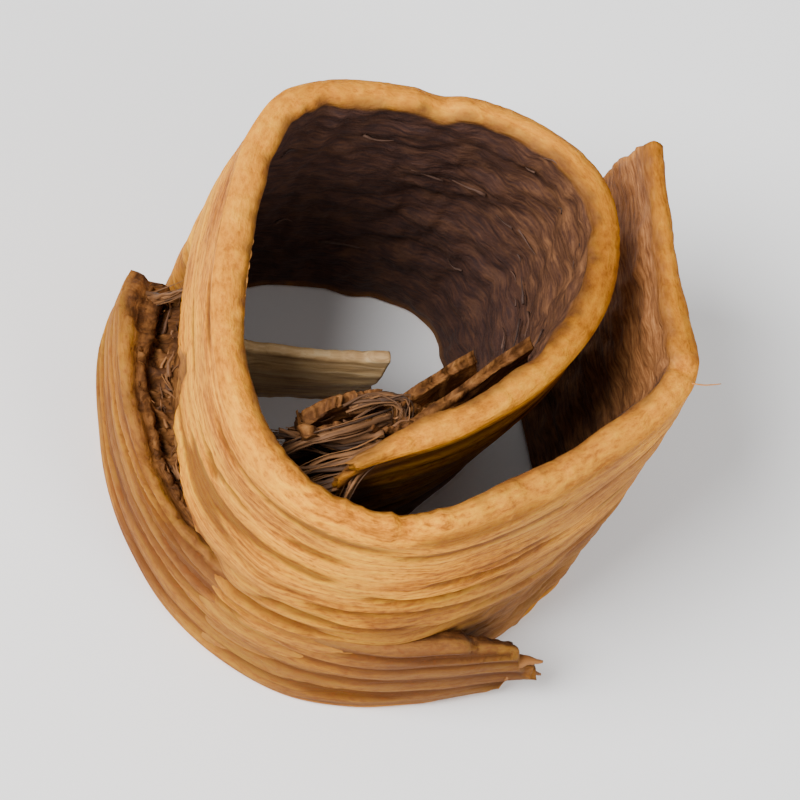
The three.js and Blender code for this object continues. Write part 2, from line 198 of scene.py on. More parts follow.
def over(tree, share, under, upper, kind="MIX"):
    """Upper colour laid over the under colour by share, or multiplied with it."""
    mix = node(tree, "ShaderNodeMix", {0: share, 6: under, 7: upper}, data_type="RGBA", blend_type=kind)
    return mix.outputs[2]


def sums(tree, kind, a, b, c=None, clamp=False):
    """A sum of two or three values, of the kind that the math node names."""
    values = {0: a, 1: b} if c is None else {0: a, 1: b, 2: c}
    return node(tree, "ShaderNodeMath", values, operation=kind, use_clamp=clamp).outputs[0]


def bark_grain():
    """Grain of bark on flat places in millimetres: fine streaks, patches, flecks, short fibres and scuffs."""
    group = bpy.data.node_groups.new("bark_grain", "ShaderNodeTree")
    group.interface.new_socket("Place", in_out="INPUT", socket_type="NodeSocketVector")
    for out in ("Streak", "Patch", "Fleck", "Fibre", "Scuff"):
        group.interface.new_socket(out, in_out="OUTPUT", socket_type="NodeSocketFloat")
    place = node(group, "NodeGroupInput").outputs["Place"]
    result = node(group, "NodeGroupOutput")
    wander = node(group, "ShaderNodeTexNoise", {"Vector": place, "Scale": 0.16, "Detail": 2.0})
    sway = node(group, "ShaderNodeVectorMath", {0: wander.outputs["Color"], 1: (0.0, 1.6, 0.0)},
                operation="MULTIPLY").outputs[0]
    swayed = node(group, "ShaderNodeVectorMath", {0: place, 1: sway}, operation="ADD").outputs[0]

    def drawn(scale, detail, rough):
        stretched = node(group, "ShaderNodeVectorMath", {0: swayed, 1: scale}, operation="MULTIPLY")
        values = {"Vector": stretched.outputs[0], "Scale": 1.0, "Detail": detail, "Roughness": rough}
        return node(group, "ShaderNodeTexNoise", values)
    streak = drawn((0.10, 2.3, 1.2), 7.0, 0.64)
    patch = drawn((0.075, 0.16, 0.3), 3.0, 0.5)
    fleck = drawn((1.1, 2.1, 2.1), 3.0, 0.6)
    fibre = drawn((0.45, 2.6, 1.6), 5.0, 0.65)
    scuff = drawn((0.26, 0.42, 0.42), 4.0, 0.62)
    made_by_name = {"Streak": streak, "Patch": patch, "Fleck": fleck, "Fibre": fibre, "Scuff": scuff}
    for name, made in made_by_name.items():
        group.links.new(made.outputs[0], result.inputs[name])
    return group


grain_group = bark_grain()


def bark_material(name):
    """Dry bark: golden outside, speckled orange on the cuts, dark and fibrous inside and where it tore, with
    painted shade in grooves and in low, right and deep places, and painted light on parts of the inner face.
    """
    material = bpy.data.materials.new(name)
    material.use_nodes = True
    tree = material.node_tree
    shader = tree.nodes["Principled BSDF"]

    def mark(key):
        return node(tree, "ShaderNodeAttribute", attribute_name=key).outputs
    grain = node(tree, "ShaderNodeGroup", node_tree=grain_group)
    tree.links.new(mark("flat_place")["Vector"], grain.inputs["Place"])
    streak, patch, fleck = grain.outputs["Streak"], grain.outputs["Patch"], grain.outputs["Fleck"]
    fibre, scuff = grain.outputs["Fibre"], grain.outputs["Scuff"]
    painted_groove_shade = mark("painted_groove_shade")["Fac"]

    tone = sums(tree, "MULTIPLY_ADD", streak, 0.42, sums(tree, "MULTIPLY", patch, 0.28))
    tone = sums(tree, "MULTIPLY_ADD", fleck, 0.30, tone)
    outer = shades(tree, tone, [(0.36, (0.26, 0.072, 0.004)), (0.44, (0.58, 0.190, 0.006)),
                                (0.51, (0.84, 0.325, 0.007)), (0.60, (0.98, 0.460, 0.011))])
    blotch = sums(tree, "MULTIPLY", sums(tree, "SUBTRACT", 0.46, patch), 7.0, clamp=True)
    outer = over(tree, sums(tree, "MULTIPLY", blotch, 0.5), outer, (0.55, 0.42, 0.40, 1), "MULTIPLY")
    # Painted shade: the outer colour is darkened and dulled where this mark is high.
    outer = over(tree, mark("painted_shade")["Fac"], outer, (0.37, 0.345, 0.46, 1), "MULTIPLY")
    outer = over(tree, sums(tree, "MULTIPLY", mark("painted_shade")["Fac"], 0.35), outer, (0.36, 0.185, 0.085, 1))
    # Painted shade darkens the grooves, cracks and dents of the outer face.
    outer = over(tree, sums(tree, "MULTIPLY", painted_groove_shade, 0.80, clamp=True), outer, (0.10, 0.026, 0.004, 1))
    dark_fleck = sums(tree, "MULTIPLY", sums(tree, "SUBTRACT", 0.43, fleck), 9.0, clamp=True)
    outer = over(tree, sums(tree, "MULTIPLY", dark_fleck, 0.36), outer, (0.26, 0.070, 0.007, 1))

    worn = sums(tree, "MULTIPLY_ADD", fleck, 0.45, sums(tree, "MULTIPLY", scuff, 0.55))
    cut = shades(tree, worn, [(0.38, (0.46, 0.150, 0.010)), (0.46, (0.62, 0.220, 0.012)),
                              (0.54, (0.72, 0.275, 0.014)), (0.64, (0.82, 0.350, 0.020))])
    inner = shades(tree, fibre, [(0.38, (0.036, 0.019, 0.017)), (0.52, (0.056, 0.026, 0.019)),
                                 (0.66, (0.082, 0.036, 0.022)), (0.80, (0.110, 0.047, 0.026))])
    rubbed = sums(tree, "MULTIPLY", sums(tree, "SUBTRACT", scuff, 0.505), 8.0, clamp=True)
    # Scuffs show more where the inner face is made paler, partly by painted light.
    more_on_pale = sums(tree, "MULTIPLY_ADD", mark("pale")["Fac"], 2.0, 0.15)
    rubbed = sums(tree, "MULTIPLY", rubbed, more_on_pale, clamp=True)
    inner = over(tree, rubbed, inner, (0.245, 0.110, 0.050, 1))
    pale = shades(tree, fibre, [(0.36, (0.17, 0.060, 0.018)), (0.50, (0.33, 0.130, 0.040)),
                                (0.64, (0.50, 0.22, 0.075))])
    mottled = sums(tree, "MULTIPLY_ADD", fibre, 0.5, sums(tree, "MULTIPLY", scuff, 0.5))
    torn = shades(tree, mottled, [(0.40, (0.060, 0.022, 0.007)), (0.48, (0.125, 0.047, 0.013)),
                                  (0.56, (0.210, 0.084, 0.022)), (0.66, (0.330, 0.145, 0.042))])
    # The inner face turns paler by this mark: partly its own paler tan, partly painted light.
    inner = over(tree, mark("pale")["Fac"], inner, pale)
    colour = over(tree, mark("outer")["Fac"], inner, outer)
    colour = over(tree, mark("torn")["Fac"], colour, torn)
    colour = over(tree, mark("cut")["Fac"], colour, cut)
    # Painted shade: deep places, the right rim, the band and the torn gap are darkened by this mark.
    colour = over(tree, mark("deep_painted_shade")["Fac"], colour, (0.33, 0.29, 0.34, 1), "MULTIPLY")
    tree.links.new(colour, shader.inputs["Base Color"])

    rough = sums(tree, "MULTIPLY_ADD", streak, -0.35, 0.86)
    tree.links.new(rough, shader.inputs["Roughness"])
    shader.inputs["Specular IOR Level"].default_value = 0.10
    height = sums(tree, "MULTIPLY_ADD", streak, 0.8, sums(tree, "MULTIPLY", fibre, 0.35))
    height = sums(tree, "MULTIPLY", height, sums(tree, "MULTIPLY_ADD", mark("outer")["Fac"], 0.6, 0.4))
    height = sums(tree, "MULTIPLY_ADD", fleck, 0.3, sums(tree, "MULTIPLY_ADD", scuff, 1.2, height))
    bump = node(tree, "ShaderNodeBump", {"Height": height, "Strength": 0.7, "Distance": 0.00045})
    tree.links.new(bump.outputs["Normal"], shader.inputs["Normal"])
    return material


bark = bark_material("dry bark")
coil = pair_of_lines(COIL)


def torn_share(u):
    left = rise(u, 12.35, 12.75) * (1 - rise(u, 16.1, 17.0))
    right = rise(u, 19.2, 20.2) * (1 - rise(u, 21.6, 22.0))
    return left + 0.45 * right


def rim_height(u):
    wave = 0.35 * ripple(u / 1.9, 4.5) + 0.15 * ripple(u * 2.3, 9.5)
    nick = 0.9 * hump(u, 8.7, 0.3)
    ragged = 0.35 * ripple(u * 5.4, 2.5) * hump(u, 18, 3.5)
    fine = 0.12 * ripple(u * 11.0, 3.5) + 0.08 * ripple(u * 23.0, 7.5)
    sagging = 0.5 * hump(u, 24.6, 1.4) + 0.7 * hump(u, 22.9, 0.35)
    return STRIP_HEIGHT - 0.45 + wave - nick + ragged + fine - sagging


def foot_height(u):
    return np.maximum(0, 1.5 * ripple(u / 1.3, 31.5) - 0.35 + 0.25 * ripple(u * 3.7, 17.5))


def wall_half(u):
    thin = 0.4 * hump(u, 0, 2) + 0.25 * hump(u, 18.5, 3) + 0.35 * hump(u, 25.5, 3) + 0.25 * rise(u, 24, 26)
    return BARK_THICK / 2 - thin


RIDGE_DEPTH = 0.21
FINE_DEPTH = 0.17
CRACK_DEPTH = 0.50


def grooves(s, z):
    """Lengthwise grooves, fine grooves and cracks of the outer face at s along it and z up it.
    Returns how far each sinks, from 0 to its depth in millimetres."""
    sway = z + 0.8 * ripple(s / 17, 1.5)
    ridges = (0.5 + 0.5 * np.sin(sway * 2.15 + 1.3 * ripple(s / 23, 6.5))) ** 1.6
    fine = 0.5 + 0.5 * ripple(s / 9, sway / 0.55)
    crack = rise(ripple(s / 11 + 7, sway / 0.95), 0.40, 0.75)
    return RIDGE_DEPTH * ridges, FINE_DEPTH * fine, CRACK_DEPTH * crack


# Long narrow cracks at the lower right of the front: where each lies along the coil, its half length,
# its height and how much it climbs for each control point.
CRACKS = [(19.4, 1.3, 22.0, -0.6), (19.0, 1.6, 19.4, -0.5), (18.3, 1.5, 16.9, -0.3), (17.0, 1.6, 14.6, 0.2),
          (16.2, 1.5, 11.0, 0.3), (20.0, 1.2, 25.0, -0.8)]


def wall_form(flat):
    s_end = np.interp(FLAP_END, coil["u"], coil["run"])
    s = flat[:, 0] * s_end
    u = np.interp(s, coil["run"], coil["u"])
    across = flat[:, 2]
    low_row, high_row = (WALL_UP // 2) / WALL_UP, (WALL_UP // 2 + 1) / WALL_UP
    torn = torn_share(u)
    teeth = 0.5 * ripple(u * 4.1, 51.5) + 0.6 * ripple(u * 9.3, 53.5) + 0.35 * ripple(u * 21.0, 57.5)
    split = np.clip(blend(SPLIT_HEIGHTS, u - SPLIT_FROM), 14, 24) + teeth * torn
    outward, inward = np.clip(across * 2 - 1, 0, 1), np.clip(1 - across * 2, 0, 1)
    lip = 0.5 + 1.3 * hump(u, 18.5, 4.5)
    front = hump(u, 18.3, 5.5) ** 0.6
    top = rim_height(u) - lip * outward**2.4 - 0.5 * inward**2.4
    bottom = foot_height(u) + 0.45 * (outward + inward) ** 2.4
    v = flat[:, 1]
    z = np.where(v <= low_row + 1e-6, bottom + (split - SPLIT_GAP - bottom) * v / low_row,
                 split + SPLIT_GAP + (top - split - SPLIT_GAP) * (v - high_row) / (1 - high_row))
    h = z / STRIP_HEIGHT
    below = np.where(v <= low_row + 1e-6, torn, 0)
    low = rise(26 - z, 0, 12)
    ridges, fine, crack = grooves(s, z)
    dents = 0.25 * ripple(u / 2.1, z / 7) + 0.12 * ripple(u * 1.4, z / 1.7)
    depth = (ridges * (0.25 + 0.75 * low) + fine * (0.5 + 0.5 * low) + crack * (0.35 + 0.65 * low))
    lines = np.zeros_like(z)
    for centre, reach, height, climb in CRACKS:
        away = z - height - climb * (u - centre) - 0.5 * ripple(u * 2.1, height)
        lines = np.maximum(lines, hump(away, 0, 0.85) * rise(hump(u, centre, reach), 0, 0.5))
    gouge = rise(hump(u, 15.8, 0.3) * hump(z + 1.5 * (u - 15.8), 27.8, 1.5), 0.1, 0.6)
    patch = hump(u, 14.35, 0.55) * hump(z + 2.5 * ripple(u * 5.1, z / 2.2), split + 1.0, 4.2)
    patch = rise(patch, 0.18, 0.5) * np.where(v > low_row + 1e-6, 1, 0)
    depth = depth + 0.50 * lines + 0.35 * gouge + patch * (0.30 + 0.35 * ripple(s / 1.1, z / 1.0 + 4))
    shreds = 0.35 * ripple(s / 5, z / 0.7) + 0.3 * ripple(s / 1.4, z / 1.3)
    outer_out = wall_half(u) + dents + 0.2 - depth - (SPLIT_DEPTH + shreds) * below
    coarse = 0.3 + 0.25 * (1 - rise(u, 4, 8))
    inner_out = wall_half(u) + coarse * ripple(u * 2.6 + 40, z / 4.2) + 0.22 * ripple(u + 11, z / 2.4 + 5)
    peeled = 1 - rise(u, 0.3, 1.7)
    inner_out = wall_half(u) + (inner_out - wall_half(u)) * (1 - 0.6 * peeled) - 0.7 * peeled
    lumps = (0.30 * ripple(s / 3.1, z / 2.2 + 9) + 0.20 * ripple(s / 1.6, z / 0.9)
             + 0.14 * ripple(s / 0.8, z / 1.9))
    inner_out = inner_out + lumps * rise(v, -0.01, 0.05) * (1 - rise(v, 0.95, 1.01))
    out = -inner_out + (inner_out + outer_out) * across + 0.6 * np.sin(np.pi * h)
    pores = 0.10 * ripple(s / 0.7, across * 5 + 60) + 0.08 * ripple(s / 1.9, across * 3 + 80)
    at_rim = rise(v, 1 - 1.2 / WALL_UP, 1) * (1 - np.abs(across * 2 - 1) ** 4)
    z = z + pores * at_rim
    start = np.maximum(0.04, 0.3 + 0.42 * ripple(h * 7.3, 61.5) + 0.28 * ripple(h * 15, 71.5))
    start = start + 0.16 * ripple(h * 37, across * 2 + 65) * (0.3 < h)
    end = 0.36 * rise(1 - h, 0.02, 0.34) + 0.04 * ripple(h * 8, 81.5) - 0.15 * hump(h, 0.2, 0.15)
    end = end + 0.025 * ripple(h * 29, across * 2 + 85)
    moved = u + np.maximum(start, 0.02) * (1 - rise(u, 0, 2)) + end * rise(u, FLAP_END - 2, FLAP_END)
    places = on_strip(coil, moved, h, out, z)
    near_edge = np.maximum(rise(v, 1 - 2.2 / WALL_UP, 1 - 0.6 / WALL_UP),
                           rise(-v, -1.6 / WALL_UP, -0.4 / WALL_UP))
    near_end = np.maximum(rise(-s, -0.9, -0.2), rise(s, s_end - 0.9, s_end - 0.2))
    inside = rise(across + 0.16 * ripple(s / 1.1, 3.5), 0.0, 0.42)
    fresh = 1 - 0.85 * front * rise(across, 0.15, 0.4)
    frayed = 1 - rise(u + 0.25 * ripple(across * 4, z / 1.5), 0.45, 1.15)
    flap = rise(u, 22.4, 23.6)
    marks = {
        "outer": rise(across, 0.4 - 0.3 * front, 0.6 - 0.3 * front),
        "cut": np.maximum(near_edge * fresh, near_end) * (0.25 + 0.75 * inside) * (1 - 0.75 * frayed),
        "torn": (below + 0.85 * patch) * rise(across, 0.5, 0.8) + 0.35 * peeled * (1 - rise(across, 0.2, 0.5))
        + 0.75 * frayed,
        # Painted shade in the grooves, cracks and gouge of the outer face, stronger lower down.
        "painted_groove_shade": (ridges / RIDGE_DEPTH * (0.08 + 0.42 * low) + crack / CRACK_DEPTH + fine / FINE_DEPTH * 0.25
                   + 1.5 * lines + gouge) * rise(across, 0.8, 1),
        # Partly the flap's own paler tan, partly painted light: the inner face of the flap grows paler
        # towards the top, and the inner face at the right grows paler towards the rim.
        "pale": np.maximum(flap * (0.35 + 0.45 * rise(z, 12, 30)),
                           0.22 * hump(u, 5.2, 3.4) * rise(z, 12, 34)),
        # Painted shade: darker lower down and from the front round to the right and the flap, with a random
        # tone on top.
        "painted_shade": 0.75 * rise(24 - z, 0, 18) + 0.5 * rise(u, 18.5, 20.5) + 0.25 * ripple(s / 6, z / 4),
        # Painted shade on the outer face deep in the gap of the coil, on the rim at the right and on the
        # flap's rim above the crease.
        "deep_painted_shade": np.maximum.reduce([
            0.85 * (1 - rise(u, 4.5, 7.5)) * rise(across, 0.5, 0.9) * rise(36 - z, 0, 2.0),
            (0.78 * hump(u, 4.6, 3.6) + 0.15 * hump(u, 9.5, 3)) * near_edge,
            0.60 * rise(u, 22.8, 23.6) * near_edge,
        ]),
    }
    return places, np.stack([s, z, across * BARK_THICK], 1), marks


WALL_ALONG = 430
WALL_UP = 81
WALL_LAYERS = 5
wall_mesh, wall_flat = bark_mat("bark_wall", WALL_ALONG, WALL_UP, WALL_LAYERS)
bark_wall = curl(wall_mesh, *wall_form(wall_flat), bark)
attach(bark_wall, "root")
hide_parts("bark_roll")

# The torn outer layer runs round the foot of the front like a band. It is the lower part of the outer bark,
# 2.5 mm thick, still grown to the wall in the middle. Its left end is loose and blunt, its right end is a
# torn tongue that stands off the wall.
BAND_THICK = 2.5
BAND = np.array([
    [-26.2, -4.6, -26.3, -1.6], [-25.2, -8.9, -24.5, -6.8], [-22.8, -14.2, -21.8, -12.1],
    [-18.9, -19.1, -18.2, -16.9], [-13.7, -23.1, -12.9, -21.4], [-7.2, -25.8, -6.6, -24.7],
    [0.0, -26.4, 0.0, -26.1], [6.6, -25.1, 6.8, -25.4], [12.5, -22.3, 12.8, -22.3],
    [17.6, -17.9, 18.0, -18.0], [22.4, -14.0, 22.4, -13.6], [26.9, -10.8, 26.6, -10.2],
])
BAND_TOP = [15.4, 17.0, 17.2, 16.8, 16.0, 15.2, 14.4, 13.8, 13.4, 12.8, 11.0, 6.4]
BAND_LOW = [2.0, 0.0, 0.0, 0.0, 0.0, 0.0, 0.0, 0.0, 0.0, 0.2, 0.8, 3.2]
BAND_ALONG = 250
BAND_UP = 52
BAND_LAYERS = 6
band = pair_of_lines(BAND)


def band_form(flat):
    s_end = band["run"][-1]
    s = flat[:, 0] * s_end
    u = np.interp(s, band["run"], band["u"])
    v, across = flat[:, 1], flat[:, 2]
    loose = 1 - rise(u, 5, 6) + rise(u, 8.5, 9.5)
    ragged = 0.5 * ripple(u * 3.5, 3.5) + 0.3 * ripple(u * 1.4, 8.5)
    ragged = ragged + 0.28 * ripple(u * 9, 13.5 + across * 3) + 0.16 * ripple(u * 21, 15.5 + across * 6)
    blunt = rise(-u, -0.35, 0)
    top = blend(BAND_TOP, u) + ragged * loose - 2.2 * blunt**2
    bottom = blend(BAND_LOW, u) + 2.4 * blunt**2
    half = (BAND_THICK / 2) * (1 + 0.65 * hump(u, 0.7, 1.9) - 0.45 * hump(u, 11, 2))
    half = half * np.sqrt(1 - 0.8 * blunt**2)
    middle = np.abs(across * 2 - 1)
    furrow = 0.8 * hump(across, 0.42, 0.3) * (1 - rise(u, 4.5, 6)) + 0.3 * hump(across, 0.12, 0.2)
    top = top - 0.5 * middle**3 - furrow
    z = bottom + 0.4 * middle**3 + (top - bottom - 0.4 * middle**3) * v
    h = np.clip((z - bottom) / np.maximum(top - bottom, 1), 0, 1)
    ridges, fine, crack = grooves(s + 60, z * 1.05 + 3)
    depth = ridges * 1.3 + fine * 1.2 + crack
    shreds = 0.25 * ripple(s / 4, z / 0.8) + 0.2 * ripple(s / 1.3, z / 1.5)
    out = np.where(across > 0.5, half * (across * 2 - 1) + (0.25 - depth) * rise(across, 0.5, 1),
                   half * (across * 2 - 1) - shreds * rise(-across, -0.5, 0))
    jag = 0.10 * ripple(h * 9, 21.5 + across) + 0.16 * ripple(h * 3.1, 25.5)
    moved = u + (jag - 0.12) * rise(u, 10, 11) + 0.05 * ripple(h * 6, 35.5) * (1 - rise(u, 0, 1))
    places = on_strip(band, moved, h, out, z)
    frayed = np.maximum(rise(s, s_end - 1.6, s_end - 0.3), 0.6 * rise(-s, -1.2, -0.2))
    knob = (1 - rise(u, 0.5, 1.9)) * rise(v, 0.82, 0.97) * rise(-across, -1.15, -0.7)
    lip = (1 - rise(u, 4.2, 6.0)) * rise(v, 0.86, 0.99) * rise(-across, -1.15, -0.75)
    marks = {
        "outer": rise(across, 0.3, 0.55),
        "cut": 0.65 * rise(-v, -1.8 / BAND_UP, -0.5 / BAND_UP) + 0.35 * frayed,
        "torn": (1 - rise(across, 0.3, 0.55)) + 0.85 * knob + 0.65 * lip,
        # Painted shade in the grooves and cracks of the band, and a little over all of it.
        "painted_groove_shade": (ridges / RIDGE_DEPTH * 0.65 + crack / CRACK_DEPTH * 1.3 + fine / FINE_DEPTH * 0.35)
        * rise(across, 0.8, 1) + 0.1,
        "pale": 0,
        # Painted shade over the whole band, more towards the tongue, with a random tone on top.
        "painted_shade": 0.72 + 0.35 * rise(u, 5, 10) + 0.3 * ripple(s / 5, z / 3),
        # Painted shade over the band, much more on the tongue, with a random tone.
        "deep_painted_shade": 0.16 + 0.10 * ripple(s / 8, z / 5) + 0.48 * rise(u, 8.0, 11.0) - 0.08 * hump(u, 6, 3),
    }
    return places, np.stack([s + 240, z, across * BAND_THICK], 1), marks


band_mesh, band_flat = bark_mat("torn_band", BAND_ALONG, BAND_UP, BAND_LAYERS)
torn_band = curl(band_mesh, *band_form(band_flat), bark)
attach(torn_band, "root")
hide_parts("bark_roll")

# The tongue ends in two short splinters of the outer bark. A hair-thin whisker stands out at the crease of
# the flap, and a little pale bast is frayed at the inner edge of the rim at the left.


def fibre_material(name, dark, light):
    """Loose bast fibre: one brown running to another along each fibre and from one fibre to the next."""
    material = bpy.data.materials.new(name)
    material.use_nodes = True
    tree = material.node_tree
    shader = tree.nodes["Principled BSDF"]
    place = node(tree, "ShaderNodeAttribute", attribute_name="flat_place").outputs["Vector"]
    grain = node(tree, "ShaderNodeGroup", node_tree=grain_group)
    tree.links.new(place, grain.inputs["Place"])
    tint = node(tree, "ShaderNodeAttribute", attribute_name="tint").outputs["Fac"]
    tone = sums(tree, "MULTIPLY_ADD", grain.outputs["Fibre"], 0.5, sums(tree, "MULTIPLY", tint, 0.6))
    colour = shades(tree, tone, [(0.25, dark), (0.85, light)])
    tree.links.new(colour, shader.inputs["Base Color"])
    rough = sums(tree, "MULTIPLY_ADD", grain.outputs["Streak"], -0.3, 0.85)
    tree.links.new(rough, shader.inputs["Roughness"])
    bump = node(tree, "ShaderNodeBump",
                {"Height": grain.outputs["Fibre"], "Strength": 0.6, "Distance": 0.0002})
    tree.links.new(bump.outputs["Normal"], shader.inputs["Normal"])
    return material


FLATNESS = 0.7    # A strand is this much thinner one way than the other.


def strand_stick(rings, sides):
    """A straight round stick one unit long, cut into rings, that every strand is bent from."""
    bm = bmesh.new()
    bmesh.ops.create_cone(bm, cap_ends=True, segments=sides, radius1=1, radius2=1, depth=1)
    long_edges = [e for e in bm.edges if abs(e.verts[0].co.z - e.verts[1].co.z) > 0.5]
    bmesh.ops.subdivide_edges(bm, edges=long_edges, cuts=rings - 1, use_grid_fill=False)
    stick = bpy.data.meshes.new("strand stick")
    bm.to_mesh(stick)
    bm.free()
    return stick


def strands(name, curves, material, rings=6, sides=5, knotty=0.15):
    """Bends one stick along each curve. A curve is (points in mm, start radius, end radius, tint)."""
    stick = strand_stick(rings, sides)
    bm = bmesh.new()
    for _ in curves:
        bm.from_mesh(stick)
    mesh = bpy.data.meshes.new(name)
    bm.to_mesh(mesh)
    bm.free()
    co = np.zeros(len(mesh.vertices) * 3)
    mesh.vertices.foreach_get("co", co)
    co = co.reshape(len(curves), -1, 3)
    places, flat, tints = np.zeros_like(co), np.zeros_like(co), np.zeros(co.shape[:2])
    for n, (points, start, end, tint) in enumerate(curves):
        line = smooth_line(np.array(points, float), per_gap=12)
        run = np.concatenate([[0], np.cumsum(np.linalg.norm(np.diff(line, axis=0), axis=1))])
        share = co[n, :, 2] + 0.5

        def on_line(part):
            return np.stack([np.interp(part * run[-1], run, line[:, i]) for i in range(3)], 1)
        centre = on_line(share)
        way = on_line(np.minimum(share + 0.05, 1)) - on_line(np.maximum(share - 0.05, 0))
        way /= np.linalg.norm(way, axis=1)[:, None]
        side = np.cross(way, (0.31, 0.22, 0.92))
        side /= np.linalg.norm(side, axis=1)[:, None]
        up = np.cross(way, side)
        turn = np.arctan2(co[n, :, 1], co[n, :, 0])
        knots = 1 + knotty * ripple(share * 9 + n, turn * 1.3 + tint * 9 + 20)
        radius = (start + (end - start) * share) * knots
        bend = side * ripple(share * 5 + n, 7.5)[:, None] + up * ripple(share * 6 + n, 17.5)[:, None]
        centre = centre + bend * knotty * start
        places[n] = (centre + side * (co[n, :, 0] * radius)[:, None]
                     + up * (co[n, :, 1] * radius * FLATNESS)[:, None])
        flat[n] = np.stack([share * run[-1] + n * 7, co[n, :, 0] * 0.4 + n * 3, co[n, :, 1] * 0.4], 1)
        tints[n] = tint
    bpy.data.meshes.remove(stick)
    return curl(mesh, places.reshape(-1, 3), flat.reshape(-1, 3), {"tint": tints.ravel()}, material)


PRONGS = [
    ([[23.6, -13.2, 8], [25.2, -12.1, 8.4], [26.3, -11.4, 8.2]], 0.90, 0.15, 0.32),
    ([[23.8, -12.8, 5], [26.0, -11.1, 4.6], [27.0, -10.2, 4.2]], 0.90, 0.15, 0.2),
    ([[21.6, 6.0, 36.1], [23.0, 6.6, 36.5], [24.2, 7.9, 36.3]], 0.09, 0.05, 0.9),
]
chance = np.random.default_rng(11)
for n in range(9):
    frayed = [on_strip(coil, np.array([13.30 + 0.07 * n + 0.12 * step]), 0.97,
                       -1.15 - 0.25 * (step == 1) - chance.uniform(0, 0.25), 36.2 - chance.uniform(0, 0.7))[0]
              for step in range(3)]
    PRONGS.append((frayed, chance.uniform(0.14, 0.24), 0.05, chance.uniform(0.8, 1)))
bark_splinter = fibre_material("bark splinter", (0.14, 0.045, 0.008), (0.58, 0.23, 0.035))
splinters = strands("splinters", PRONGS, bark_splinter, rings=12, sides=8, knotty=0.2)
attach(splinters, "root")
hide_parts("bark_roll")

# Torn fibres fill the bottom of the gap between the band and the wall. They are the layers of bast that
# tore when the outer bark was pulled away, a lumpy brown mass with thin loose fibres standing out of it.
FILL_ALONG = 150
FILL_ACROSS = 16
FILL_BAND_START, FILL_BAND_SPAN = 0.40, 5.2
FILL_WALL_START, FILL_WALL_SPAN = 12.65, 3.85


def fill_form(flat):
    share, from_band, level = flat.T
    w = 1 - from_band
    on_band = FILL_BAND_START + FILL_BAND_SPAN * share
    on_wall = FILL_WALL_START + FILL_WALL_SPAN * share
    high = 15.4 + 1.6 * ripple(share * 17, 13.5) + 1.0 * ripple(share * 41, 23.5)
    low = 14.4 + 1.2 * ripple(share * 23, 33.5)
    crest = np.where(w < 0.35, high + 3 - w / 0.35 * 3, high + (low - high) * np.clip((w - 0.35) / 0.3, 0, 1))
    lumps = 0.8 * ripple(share * 60, w * 4 + 3) + 0.5 * ripple(share * 140, w * 9 + 7)
    crest = crest + 1.4 * rise(w, 0.65, 1) + lumps
    z = 0.5 + (crest - 0.5) * level
    wall_side = on_strip(coil, on_wall, z / STRIP_HEIGHT, BARK_THICK / 2 - SPLIT_DEPTH - 1.0, z)
    band_side = on_strip(band, on_band, np.clip(z / 16, 0, 1), -0.3, z)
    places = wall_side * (1 - w)[:, None] + band_side * w[:, None]
    # Painted shade darkens the torn mass in the gap, unevenly.
    marks = {"outer": 0, "cut": 0, "torn": 1, "painted_groove_shade": 0, "pale": 0, "painted_shade": 0,
             "deep_painted_shade": 0.36 + 0.3 * ripple(share * 19, w * 2 + 9)}
    return places, np.stack([share * 28 + 340, w * 4 + z * 0.7, z * 0.4], 1), marks


fill_mesh, fill_flat = bark_mat("torn_fibres", FILL_ALONG, FILL_ACROSS, 3)
torn_fibres = curl(fill_mesh, *fill_form(fill_flat), bark)
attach(torn_fibres, "root")
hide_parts("bark_roll")


# Loose fibres of torn bast lie over that mass, across and along the gap, each with one end lifted.
# They are 0.1 to 0.3 mm thick and run from dark to mid brown.
gap_fibre = fibre_material("torn bast", (0.04, 0.013, 0.004), (0.30, 0.12, 0.03))
chance = np.random.default_rng(20)
GAP_FIBRES = 110
gap_curves = []
for n in range(GAP_FIBRES):
    share = chance.uniform(0.0, 1.0)
    w = chance.uniform(0.05, 0.95)
    z = 13.9 + chance.uniform(-1.0, 3.2) * (1 - w) + chance.uniform(-1.0, 1.2) * w
    reach = chance.uniform(0.02, 0.11) * chance.choice([-1, 1])
    lift = chance.uniform(-1.0, 3.2) * (1 - 0.6 * w)
    points = []
    for step in (0, 0.5, 1):
        a = np.array([np.clip(share + reach * step, 0, 1)])
        height = np.array([z + lift * step**1.5 + chance.uniform(-0.4, 0.4)])
        torn_face = BARK_THICK / 2 - SPLIT_DEPTH + 0.1
        wall_side = on_strip(coil, 12.9 + 3.6 * a, height / STRIP_HEIGHT, torn_face, height)[0]
        band_side = on_strip(band, 0.7 + 4.9 * a, np.clip(height / 16, 0, 1), -0.9, height)[0]
        drift = np.clip(w + step * chance.uniform(-0.25, 0.25), 0, 1)
        points.append(wall_side * (1 - drift) + band_side * drift)
    gap_curves.append((points, chance.uniform(0.10, 0.34), 0.05, chance.uniform(0, 0.9)))
gap_fibres = strands("gap_fibres", gap_curves, gap_fibre, knotty=0.35)
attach(gap_fibres, "root")
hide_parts("bark_roll")

# A thin strip of inner bark lies loose across the hollow, grown fast to the wall at its left end.
# It is 1.2 mm thick, paler and smoother than the torn face round it, with its free end torn off at a slant.
SLIVER = np.array([
    [-20.0, -9.1, -19.4, -9.2], [-17.6, -7.8, -16.6, -8.0], [-13.6, -5.2, -12.4, -5.0],
    [-8.3, -1.8, -7.2, -1.0], [-2.7, 2.3, -2.7, 3.0],
])
SLIVER_THICK = 1.2
sliver_line = pair_of_lines(SLIVER)


